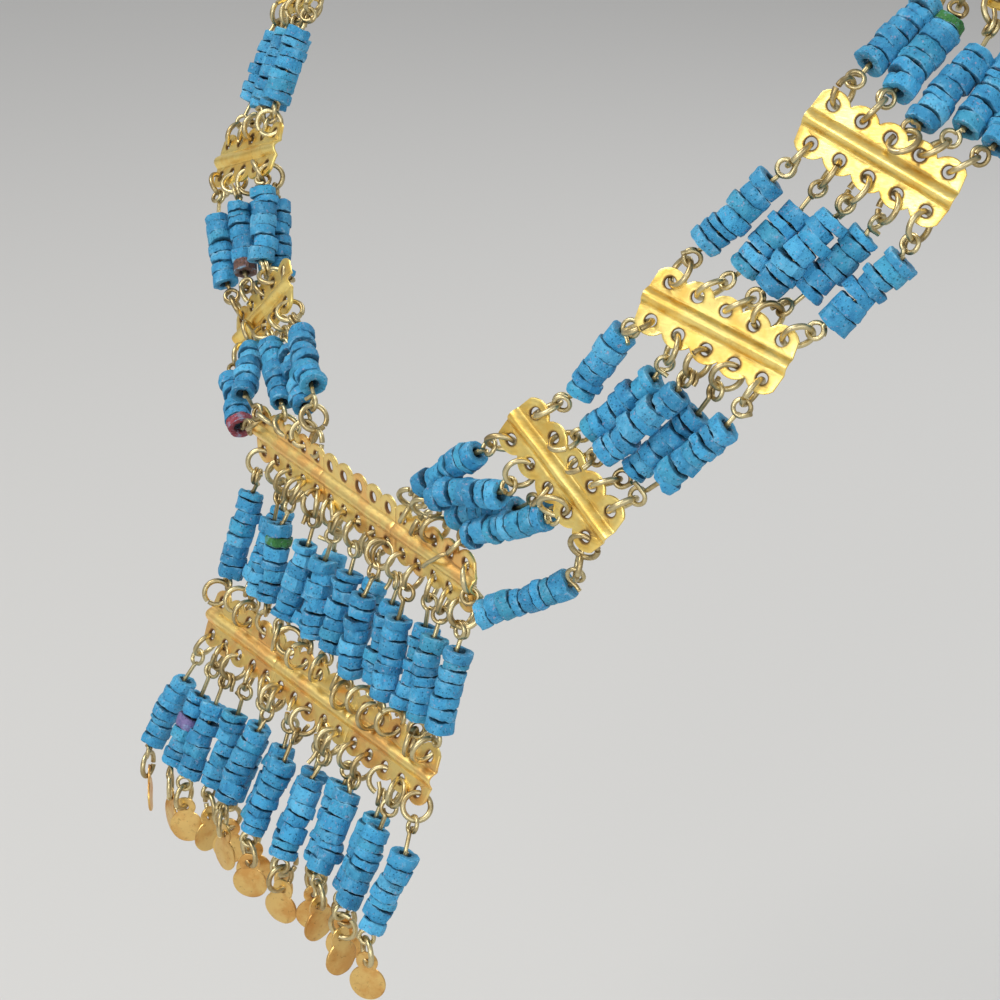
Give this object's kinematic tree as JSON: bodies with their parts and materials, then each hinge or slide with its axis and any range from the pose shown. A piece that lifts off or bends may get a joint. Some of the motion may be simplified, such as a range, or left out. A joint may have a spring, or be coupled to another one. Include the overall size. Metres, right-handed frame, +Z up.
{
  "type": "bib necklace",
  "caption": "Bib necklace of turquoise disc beads strung between scalloped brass spacer bars, with small brass drops below and a chain and hook behind the neck.",
  "frame": {"origin": "the nape, where the chain and its hook lie on the back of the neck when the necklace is worn", "axes": "+Z up, the wearer faces -Y, +X towards the wearer's left hand, which is the right side as seen from the front"},
  "size_m": [0.1858, 0.1496, 0.2036],
  "materials": {
    "bar_brass": "satin pressed brass with dark patina round the holes",
    "wire_brass": "antique brass wire",
    "beads": "matte turquoise blue, speckled"
  },
  "bodies": {
    "root": {"pectoral_bar_upper": "bar_brass", "pectoral_bar_lower": "bar_brass", "strap_bar_right_1": "bar_brass", "strap_bar_right_2": "bar_brass", "strap_bar_right_3": "bar_brass", "end_plate_right": "bar_brass", "strap_bar_left_1": "bar_brass", "strap_bar_left_2": "bar_brass", "strap_bar_left_3": "bar_brass", "end_plate_left": "bar_brass", "strand_upper_01": "beads", "strand_upper_02": "beads", "strand_upper_03": "beads", "strand_upper_04": "beads", "strand_upper_05": "beads", "strand_upper_06": "beads", "strand_upper_07": "beads", "strand_upper_08": "beads", "strand_upper_09": "beads", "strand_upper_10": "beads", "strand_upper_11": "beads", "strand_upper_12": "beads", "strand_upper_13": "beads", "strand_upper_14": "beads", "strand_upper_15": "beads", "strand_lower_01": "beads", "strand_lower_02": "beads", "strand_lower_03": "beads", "strand_lower_04": "beads", "strand_lower_05": "beads", "strand_lower_06": "beads", "strand_lower_07": "beads", "strand_lower_08": "beads", "strand_lower_09": "beads", "strand_lower_10": "beads", "strand_lower_11": "beads", "strand_lower_12": "beads", "strand_lower_13": "beads", "strand_lower_14": "beads", "strand_lower_15": "beads", "strap_strands_right_1_inner": "beads", "strap_strands_right_1_middle": "beads", "strap_strands_right_1_outer": "beads", "strap_strands_right_2_inner": "beads", "strap_strands_right_2_middle": "beads", "strap_strands_right_3_inner": "beads", "strap_strands_right_3_middle": "beads", "strap_strands_right_3_outer": "beads", "strap_strands_right_4_inner": "beads", "strap_strands_right_4_middle": "beads", "strap_strands_left_1_inner": "beads", "strap_strands_left_1_middle": "beads", "strap_strands_left_1_outer": "beads", "strap_strands_left_2": "beads", "strap_strands_left_3": "beads", "strap_strands_left_4": "beads", "back_chain_right": "wire_brass", "back_chain_left": "wire_brass", "hook_clasp": "wire_brass"}
  },
  "joints": []
}
